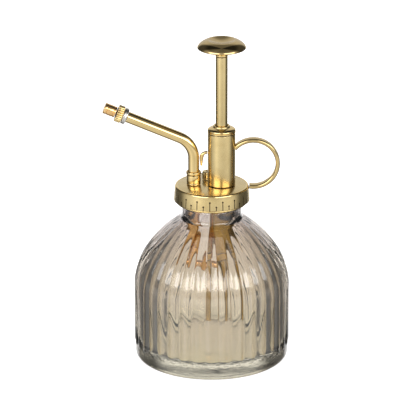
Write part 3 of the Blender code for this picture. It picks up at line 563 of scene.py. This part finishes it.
def knobProfile():
    k = knob
    line = high - k["above"]
    rows = []
    for row in range(k["rows"]):
        share = row / k["rows"]
        rows.append((k["rim"] * share * 0.96, high - k["dish"] * (1.0 - share ** 1.7) - 0.05))
    rows += [(k["rim"] - 0.1, high, 0.15), (k["rim"] + 0.15, high - 0.04, 0.15)]
    for row in range(2, 19):
        angle = math.pi / 2 * row / 18
        rows.append((k["rim"] + (k["widest"] - k["rim"]) * math.sin(angle) ** k["bevel"],
                     line + k["above"] * max(math.cos(angle), 0.0) ** k["bevel"]))
    for row in range(1, 13):
        angle = math.pi / 2 * row / 12
        rows.append((k["foot"] + (k["widest"] - k["foot"]) * math.cos(angle), line - k["under"] * math.sin(angle)))
    roof = heights("plunger_rod")[1] + 0.3
    return rows + [(k["bore"], low), (k["bore"], roof), (0.0, roof)]


finishPiece("thumbButton", turnShape(knobProfile(), 160), buttonShadedBrass, "plunger", "button", pumpPlace, sharp=50.0)
print("pump turned")


# ---- springs
def makeSpring(name, node, settings, place, joint):
    s = settings
    bm = bmesh.new()
    bmesh.ops.create_circle(
        bm, cap_ends=True, segments=12, radius=s["wire"] / 2 * mm,
        matrix=Matrix.Translation((s["radius"] * mm, 0.0, 0.0)) @ Matrix.Rotation(math.pi / 2, 4, "X"))
    low, high = (corner.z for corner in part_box(node))
    half = s["wire"] / 2 * mm
    steps = round(s["turns"] * 28)
    bmesh.ops.spin(
        bm, geom=bm.verts[:] + bm.edges[:] + bm.faces[:], cent=(0.0, 0.0, 0.0), axis=up,
        dvec=(0.0, 0.0, (high - low - 2 * half) / steps), angle=math.tau * s["turns"], steps=steps)
    bmesh.ops.recalc_face_normals(bm, faces=bm.faces)
    bmesh.ops.translate(bm, vec=(0.0, 0.0, low + half), verts=bm.verts)
    piece = finishPiece(name, bm, steel, "head", node, place)
    found = next(j for j in frame["joints"] if j["name"] == joint)
    return piece, low, high, found["range_m"][1]


# ---- spout
spout = dict(radius=2.7, bore=1.8, bend=11.0, steps=64, bendSteps=24, rise=20.9)
tilt = math.atan2(nozzleLine.z, -nozzleLine.x)
deckTop = capHigh * mm


def sweepSpout(radius):
    bm = bmesh.new()
    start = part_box("spout_tube")[0].z
    bmesh.ops.create_circle(
        bm, segments=spout["steps"], radius=radius * mm, matrix=Matrix.Translation((spoutX, 0.0, start)))
    turn = math.pi / 2 - tilt
    corner = Vector((spoutX, 0.0, deckTop + spout["rise"] * mm))
    bendStart = corner.z - spout["bend"] * mm * math.tan(turn / 2)
    grown = bmesh.ops.extrude_edge_only(bm, edges=bm.edges[:])["geom"]
    ring = [item for item in grown if isinstance(item, bmesh.types.BMVert)]
    bmesh.ops.translate(bm, vec=(0.0, 0.0, bendStart - start), verts=ring)
    ringEdges = [
        item for item in grown if isinstance(item, bmesh.types.BMEdge) and all(v in ring for v in item.verts)]
    bent = bmesh.ops.spin(
        bm, geom=ring + ringEdges, cent=(spoutX - spout["bend"] * mm, 0.0, bendStart),
        axis=(0.0, -1.0, 0.0), angle=turn, steps=spout["bendSteps"])["geom_last"]
    lastEdges = [item for item in bent if isinstance(item, bmesh.types.BMEdge)]
    grown = bmesh.ops.extrude_edge_only(bm, edges=lastEdges)["geom"]
    ring = [item for item in grown if isinstance(item, bmesh.types.BMVert)]
    here = sum((vert.co for vert in ring), Vector()) / len(ring)
    bmesh.ops.translate(bm, vec=nozzleEnd - here, verts=ring)
    bmesh.ops.recalc_face_normals(bm, faces=bm.faces)
    return bm


def makeSpout():
    bm = sweepSpout(spout["radius"])
    inner = sweepSpout(spout["bore"])
    bmesh.ops.reverse_faces(inner, faces=inner.faces)
    spare = bpy.data.meshes.new("spare")
    inner.to_mesh(spare)
    inner.free()
    bm.from_mesh(spare)
    bpy.data.meshes.remove(spare)
    ends = [edge for edge in bm.edges if edge.is_boundary]
    bmesh.ops.bridge_loops(bm, edges=[e for e in ends if e.verts[0].co.z < 0.1])
    bmesh.ops.bridge_loops(bm, edges=[e for e in ends if e.verts[0].co.z > 0.1])
    bmesh.ops.recalc_face_normals(bm, faces=bm.faces)
    return finishPiece("spoutTube", bm, spoutShine, "head", "spout_tube")


makeSpout()
low, high = heights("spout_socket")
socket = dict(outer=3.4, bore=2.4, ring=3.6, ringBore=3.0)
finishPiece("spoutSocket", turnShape([
    (socket["outer"], high, 0.3), (socket["outer"], low + 1.0, 0.1), (socket["outer"] - 0.25, low + 0.75, 0.1),
    (socket["outer"], low + 0.5, 0.1), (socket["outer"], low, 0.15), (socket["bore"], low, 0.1),
    (socket["bore"], high, 0.1)], 96), spoutPolish, "head", "spout_socket", spoutPlace)
low, high = heights("socket_ring")
finishPiece("socketRing", turnShape(tubeCorners(socket["ring"], socket["ringBore"], low, high, 0.35), 96),
            spoutPolish, "head", "socket_ring", spoutPlace)
print("spout bent")


def makeWire(name, points, radii, material, body, node):
    # a tapering wire with round ends, from a curve that is made a mesh at once
    curve = bpy.data.curves.new(name, "CURVE")
    curve.dimensions = "3D"
    curve.bevel_depth = mm
    curve.bevel_resolution = 6
    curve.resolution_u = 10
    curve.use_fill_caps = True
    line = curve.splines.new("NURBS")
    line.points.add(len(points) - 1)
    line.use_endpoint_u = True
    line.order_u = 4
    for spot, point, radius in zip(line.points, points, radii):
        spot.co = (*point, 1.0)
        spot.radius = radius
    holder = bpy.data.objects.new(name + "Line", curve)
    scene.collection.objects.link(holder)
    bpy.context.view_layer.update()
    mesh = bpy.data.meshes.new_from_object(holder.evaluated_get(bpy.context.evaluated_depsgraph_get()))
    bpy.data.objects.remove(holder, do_unlink=True)
    bm = bmesh.new()
    bm.from_mesh(mesh)
    bpy.data.meshes.remove(mesh)
    bmesh.ops.remove_doubles(bm, verts=bm.verts, dist=0.000001)
    bmesh.ops.recalc_face_normals(bm, faces=bm.faces)
    return finishPiece(name, bm, material, body, node)


# the brace leaves the sleeve level, then turns down beside the spout
brace = dict(radius=0.7, drops=(0.6, 2.2, 4.2, 6.7))
braceLow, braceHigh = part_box("spout_brace")
reach = braceHigh.x - braceLow.x
topLine = braceHigh.z - brace["radius"] * mm
startX, endX = braceHigh.x, braceLow.x + brace["radius"] * mm
firstDrop, *otherDrops = (topLine - drop * mm for drop in brace["drops"])
makeWire("spoutBrace", [
    (startX, 0.0, topLine), (startX - 0.22 * reach, 0.0, topLine), (startX - 0.62 * reach, 0.0, firstDrop),
    *((endX, 0.0, drop) for drop in otherDrops)],
    [0.75, 0.75, 0.85, 1.05, 0.8, 0.4], pumpPolish, "head", "spout_brace")

low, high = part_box("vent_post")
ventPlace = Matrix.Translation(((low.x + high.x) / 2, (low.y + high.y) / 2, 0.0))
low, high = low.z / mm, high.z / mm
vent = dict(radius=2.6, groove=2.4, bore=0.8)
finishPiece("ventPost", turnShape([
    (vent["radius"], high, 0.6), (vent["radius"], low + 0.9, 0.1), (vent["groove"], low + 0.7, 0.1),
    (vent["radius"], low + 0.5, 0.1), (vent["radius"], low, 0.1), (vent["bore"], low, 0.05),
    (vent["bore"], high, 0.25)], 72), capBrass, "head", "vent_post", ventPlace)

# ---- nozzle, measured along its own line
nozzle = dict(
    gap=0.3, ring=4.1, ringLong=1.8, stub=2.8, stubLong=2.5, bore=1.8,
    knurl=4.2, knurlLong=3.0, teeth=20, toothDeep=0.4, knurlBore=3.1,
    tip=2.7, tipLow=6.0, tipLong=5.9, tipWall=0.8, front=1.0, spray=0.4,
)
gap = nozzle["gap"]
ringTop = gap + nozzle["ringLong"]
knurlLow = ringTop + gap
knurlTop = knurlLow + nozzle["knurlLong"]
tipLow = nozzle["tipLow"]
tipTop = tipLow + nozzle["tipLong"]
nozzleTurn = (0.0, tilt - math.pi / 2, 0.0)
nozzleSteel = turnedMetal("brightSteel", nozzleEnd, nozzleTurn, "nozzleSteel")
nozzleBrass = turnedMetal("polishedBrass", nozzleEnd, nozzleTurn, "nozzleBrass")
nozzleCopper = turnedMetal("warmCopper", nozzleEnd, nozzleTurn, "nozzleCopper")

finishPiece("spoutEndRing", turnShape([
    (nozzle["stub"], ringTop + nozzle["stubLong"], 0.15), (nozzle["stub"], ringTop, 0.1),
    (nozzle["ring"], ringTop, 0.3), (nozzle["ring"], ringTop - 0.7, 0.08),
    (nozzle["ring"] - 0.15, ringTop - 0.9, 0.05), (nozzle["ring"], ringTop - 1.1, 0.08),
    (nozzle["ring"], gap, 0.3), (nozzle["bore"], gap, 0.1), (nozzle["bore"], ringTop + nozzle["stubLong"], 0.1)],
    96), nozzleSteel, "head", "spout_end_ring", nozzlePlace)


def makeKnurl():
    bm = turnShape([
        (nozzle["knurl"], knurlTop, 0.35), (nozzle["knurl"], (knurlLow + knurlTop) / 2),
        (nozzle["knurl"], knurlLow, 0.35), (nozzle["knurlBore"], knurlLow, 0.1),
        (nozzle["knurlBore"], knurlTop, 0.1)], nozzle["teeth"] * 12)
    for vert in bm.verts:
        radius = math.hypot(vert.co.x, vert.co.y)
        if radius > (nozzle["knurl"] - 0.5) * mm:
            angle = math.atan2(vert.co.y, vert.co.x)
            wave = 1.0 - abs(math.cos(angle * nozzle["teeth"] / 2)) ** 0.8
            drop = nozzle["toothDeep"] * mm * wave
            vert.co.x *= (radius - drop) / radius
            vert.co.y *= (radius - drop) / radius
    bmesh.ops.recalc_face_normals(bm, faces=bm.faces)
    return finishPiece("knurledRing", bm, nozzleBrass, "nozzle", "knurled_ring", nozzlePlace, sharp=50.0)


makeKnurl()
tipBore = nozzle["tip"] - nozzle["tipWall"]
finishPiece("nozzleTip", turnShape([
    (nozzle["tip"], tipTop, 0.5), (nozzle["tip"], tipTop - 1.6, 0.06), (nozzle["tip"] - 0.2, tipTop - 1.75, 0.05),
    (nozzle["tip"], tipTop - 1.9, 0.06), (nozzle["tip"], tipLow + 1.2, 0.06),
    (nozzle["tip"] - 0.2, tipLow + 1.05, 0.05), (nozzle["tip"], tipLow + 0.9, 0.06),
    (nozzle["tip"], tipLow, 0.15), (tipBore, tipLow, 0.1),
    (tipBore, tipTop - nozzle["front"], 0.1), (nozzle["spray"], tipTop - nozzle["front"]),
    (nozzle["spray"], tipTop - 0.45, 0.05), (nozzle["spray"] + 0.35, tipTop - 0.05, 0.05)], 96),
    nozzleCopper, "nozzle", "nozzle_tip", nozzlePlace)
print("nozzle turned")

# ---- finger ring
# its ends are cut off a hair clear of the cap and the sleeve
finger = dict(
    radius=11.7, band=2.1, width=4.5, start=-100.0, end=139.0, fillet=0.98, steps=96,
    clear=0.04, cutLow=87.6, cutHigh=118.0,
)
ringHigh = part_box("finger_ring")[1]
fingerX = ringHigh.x - (finger["radius"] + finger["band"] / 2) * mm
fingerZ = ringHigh.z - (finger["radius"] + finger["band"] / 2) * mm


def makeFinger():
    f = finger
    bm = bmesh.new()
    half, wide = f["band"] / 2 * mm, f["width"] / 2 * mm
    verts = [bm.verts.new((f["radius"] * mm + x, y, 0.0)) for x, y in
             ((-half, -wide), (half, -wide), (half, wide), (-half, wide))]
    face = bm.faces.new(verts)
    bmesh.ops.bevel(
        bm, geom=verts, affect="VERTICES", offset=f["fillet"] * mm, segments=5, profile=0.5, material=-1)
    bmesh.ops.spin(
        bm, geom=bm.faces[:] + bm.edges[:] + bm.verts[:], cent=(0.0, 0.0, 0.0), axis=(0.0, -1.0, 0.0),
        angle=math.radians(f["end"] - f["start"]), steps=f["steps"])
    bmesh.ops.rotate(bm, verts=bm.verts, matrix=Matrix.Rotation(-math.radians(f["start"]), 3, "Y"))
    bmesh.ops.translate(bm, vec=(fingerX, 0.0, fingerZ), verts=bm.verts)
    bmesh.ops.recalc_face_normals(bm, faces=bm.faces)
    piece = finishPiece("fingerRing", bm, ringShadedBrass, "head", "finger_ring")
    cutWith(piece, cutterObject(turnShape(capOutline(f["clear"]) + [(0.0, capLow - f["clear"])], 160), capBrass))
    cutWith(piece, holeCutter(sleeve["outer"] + f["clear"], pumpX, 0.0, f["cutLow"], f["cutHigh"], 160))
    return piece


makeFinger()
print("finger ring bent")

# ---- inside the bottle
low, high = heights("valve_housing")
housing = dict(wide=5.7, narrow=4.2, nipple=3.3, seat=1.0, bore=2.1, top=3.0)
finishPiece("valveHousing", turnShape([
    (housing["wide"], high, 0.3), (housing["wide"], high - 3.0, 0.3), (housing["narrow"], high - 4.0, 0.3),
    (housing["narrow"], low + 2.0, 0.3), (housing["nipple"], low + 2.0, 0.1), (housing["nipple"], low, 0.2),
    (housing["seat"], low, 0.1), (housing["seat"], low + 4.0), (housing["bore"], low + 5.1),
    (housing["bore"], low + 8.4), (housing["top"], low + 8.4), (housing["top"], high, 0.2)], 96),
    barrelBrass, "head", "valve_housing", pumpPlace)
low, high = heights("dip_tube")
straw = dict(outer=3.0, inner=2.3)
finishPiece("dipTube", turnShape(tubeCorners(straw["outer"], straw["inner"], low, high, 0.15), 64),
            tubeBrass, "head", "dip_tube", pumpPlace)
low, high = heights("outlet_duct")
duct = dict(neck=2.1, outer=2.8, bore=1.3)
finishPiece("outletDuct", turnShape([
    (duct["neck"], high, 0.1), (duct["neck"], high - 6.0, 0.3), (duct["outer"], high - 6.2, 0.3),
    (duct["outer"], low, 0.3), (duct["bore"], low, 0.1), (duct["bore"], high, 0.1)], 96),
    copper, "head", "outlet_duct", spoutPlace)
manifold = dict(outer=2.5, bore=1.6, floor=1.5, arm=1.6, armHeight=2.1, armStart=2.0)


def makeManifold():
    m = manifold
    low, high = heights("outlet_manifold")
    bm = turnShape([
        (0.0, low + m["floor"]), (m["bore"], low + m["floor"]), (m["bore"], high, 0.1), (m["outer"], high, 0.2),
        (m["outer"], low, 0.7), (0.0, low)], 64)
    bmesh.ops.translate(bm, vec=(spoutX, 0.0, 0.0), verts=bm.verts)
    arm = bmesh.ops.create_circle(bm, segments=48, radius=m["arm"] * mm, cap_ends=True)["verts"]
    face = next(face for face in bm.faces if len(face.verts) == 48)
    grown = bmesh.ops.extrude_face_region(bm, geom=[face])["geom"]
    tips = [item for item in grown if isinstance(item, bmesh.types.BMVert)]
    start = m["armStart"] * mm
    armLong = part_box("outlet_manifold")[1].x - spoutX - start
    bmesh.ops.translate(bm, vec=(0.0, 0.0, armLong), verts=tips)
    place = (
        Matrix.Translation((spoutX + start, 0.0, (low + m["armHeight"]) * mm))
        @ Matrix.Rotation(math.pi / 2, 4, "Y"))
    bmesh.ops.transform(bm, matrix=place, verts=arm + tips)
    bmesh.ops.recalc_face_normals(bm, faces=bm.faces)
    return finishPiece("outletManifold", bm, copper, "head", "outlet_manifold")


makeManifold()
returnSpring = dict(wire=0.8, radius=3.6, turns=8.5)
valveSpring = dict(wire=0.3, radius=1.15, turns=5.0)
for name, node, settings, place, joint, down in (
        ("returnSpring", "return_spring", returnSpring, pumpPlace, "plunger_press", True),
        ("valveSpring", "outlet_spring", valveSpring, spoutPlace, "outlet_ball_lift", False)):
    piece, low, high, travel = makeSpring(name, node, settings, place, joint)
    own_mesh(piece)
print("springs wound, inside fitted")

# ---- CAD parts that stay as they are get their finish here
keptParts = {
    "neck_gasket": rubber, "rod_seal": rubber, "piston_cup": rubber, "nozzle_seal": rubber,
    "rod_bushing": plastic, "piston": pumpPolish, "piston_washer": steel, "piston_screw": steel,
    "inlet_cage": steel, "outlet_seat": steel, "swirl_core": nozzleSteel,
    "inlet_ball": steel, "outlet_ball": steel,
}
for node, material in keptParts.items():
    kept = frame["nodes"][node]
    if not kept.material_slots:
        kept.data.materials.append(material)
    for slot in kept.material_slots:
        slot.material = material
print("kept parts finished:", len(keptParts))


# ---- studio
studio = dict(floorRadius=3.0, floorTone=(0.90, 0.93), floorGlow=0.75, skyPower=6.0, skySize=1.2)
# light round the room, in degrees: 0 is behind the object, 180 is the camera's side
roomWalls = [
    (0, 1.0), (26, 1.0), (36, 0.12), (88, 0.12), (98, 0.4), (108, 0.75), (125, 0.95), (166, 0.82), (205, 1.0),
    (216, 1.2), (230, 1.2), (240, 0.95), (262, 0.75), (276, 0.35), (286, 0.12), (324, 0.12), (334, 1.0),
    (360, 1.0)]
# and up it, in degrees above the horizon
roomLevels = [
    (-90, 0.5), (-50, 0.85), (-15, 1.0), (-8, 1.2), (-2, 1.1), (3, 0.5), (8, 0.8), (36, 0.8), (52, 0.25),
    (90, 0.2)]
# two soft panels above the camera, with a gap between them
panelWalls = [
    (0, 0.0), (110, 0.0), (120, 2.0), (166, 2.0), (171, 0.0), (189, 0.0), (194, 2.0), (238, 2.0), (250, 0.0),
    (360, 0.0)]
panelLevels = [(-90, 0.0), (12, 0.0), (15, 1.9), (32, 1.9), (36, 0.0), (90, 0.0)]


def makeStudio():
    world = bpy.data.worlds.new("paleStudio")
    scene.world = world
    world.use_nodes = True
    tree = world.node_tree
    back = tree.nodes["Background"]
    split = addNode(tree, "SeparateXYZ", {"Vector": addNode(tree, "TexCoord").outputs["Generated"]})
    side = mathNode(tree, "ARCTAN2", split.outputs["X"], split.outputs["Y"])
    turned = mathNode(tree, "FRACT", mathNode(tree, "ADD", mathNode(tree, "DIVIDE", side, math.tau), 1.0))
    lift = mathNode(tree, "DIVIDE", mathNode(tree, "ARCSINE", split.outputs["Z"]), math.pi)
    rise = mathNode(tree, "ADD", lift, 0.5)

    def blend(kind, first, second, factor=1.0):
        return addNode(tree, "Mix", {"Factor": factor, "A": first, "B": second},
                       data_type="RGBA", blend_type=kind, clamp_result=False).outputs["Result"]

    def panel(walls, levels):
        # ramps hold no light above 1, so both are halved and the product is brought back
        around = rampNode(tree, turned, [(degrees / 360.0, light / 2.0) for degrees, light in walls])
        above = rampNode(tree, rise, [((degrees + 90.0) / 180.0, light / 2.0) for degrees, light in levels])
        return blend("MULTIPLY", blend("MULTIPLY", around, above), (4.0, 4.0, 4.0, 1.0))

    room = blend("ADD", panel(roomWalls, roomLevels), panel(panelWalls, panelLevels))
    # the room lights and shows in the object; the backdrop itself is plain white
    final = blend("MIX", room, (1.0, 1.0, 1.0, 1.0), addNode(tree, "LightPath").outputs["Is Camera Ray"])
    tree.links.new(final, back.inputs["Color"])
    back.inputs["Strength"].default_value = 1.0


makeStudio()
bm = bmesh.new()
bmesh.ops.create_circle(bm, cap_ends=True, segments=96, radius=studio["floorRadius"])
floorMesh = bpy.data.meshes.new("paleFloor")
bm.to_mesh(floorMesh)
bm.free()
floor = bpy.data.objects.new("paleFloor", floorMesh)
scene.collection.objects.link(floor)
floor.visible_glossy = False
floor.visible_transmission = False
floorPaint, tree, shader = newMaterial("paleFloor")
shade = noiseNode(tree, objectPoints(tree, (0.004, 0.004, 0.004)), 2.0, 0.5)
darkTone, lightTone = studio["floorTone"]
tree.links.new(rampNode(tree, shade, [(0.3, darkTone), (0.7, lightTone)]), shader.inputs["Base Color"])
shader.inputs["Roughness"].default_value = 0.9
shader.inputs["Specular IOR Level"].default_value = 0.0
shader.inputs["Emission Color"].default_value = (1.0, 1.0, 1.0, 1.0)
shader.inputs["Emission Strength"].default_value = studio["floorGlow"]
floorMesh.materials.append(floorPaint)


def softLight(name, place, aim, size, power):
    data = bpy.data.lights.new(name, "AREA")
    data.shape = "DISK"
    data.size = size
    data.energy = power
    made = bpy.data.objects.new(name, data)
    made.location = place
    made.rotation_euler = (Vector(aim) - Vector(place)).to_track_quat("-Z", "Y").to_euler()
    made.visible_glossy = False
    scene.collection.objects.link(made)


softLight("skyPanel", (0.0, -0.3, 1.4), (0.0, 0.0, 0.05), studio["skySize"], studio["skyPower"])

camera = dict(place=(-0.0018, -1.700, 0.690), tilt=-19.88, lens=324.5)
eye = bpy.data.cameras.new("eye")
eye.lens = camera["lens"]
eye.sensor_width = 36.0
eye.clip_start = 0.05
viewer = bpy.data.objects.new("eye", eye)
viewer.location = camera["place"]
viewer.rotation_euler = (math.radians(90.0 + camera["tilt"]), 0.0, 0.0)
scene.collection.objects.link(viewer)
scene.camera = viewer
scene.view_settings.view_transform = "Standard"
print("studio lit")
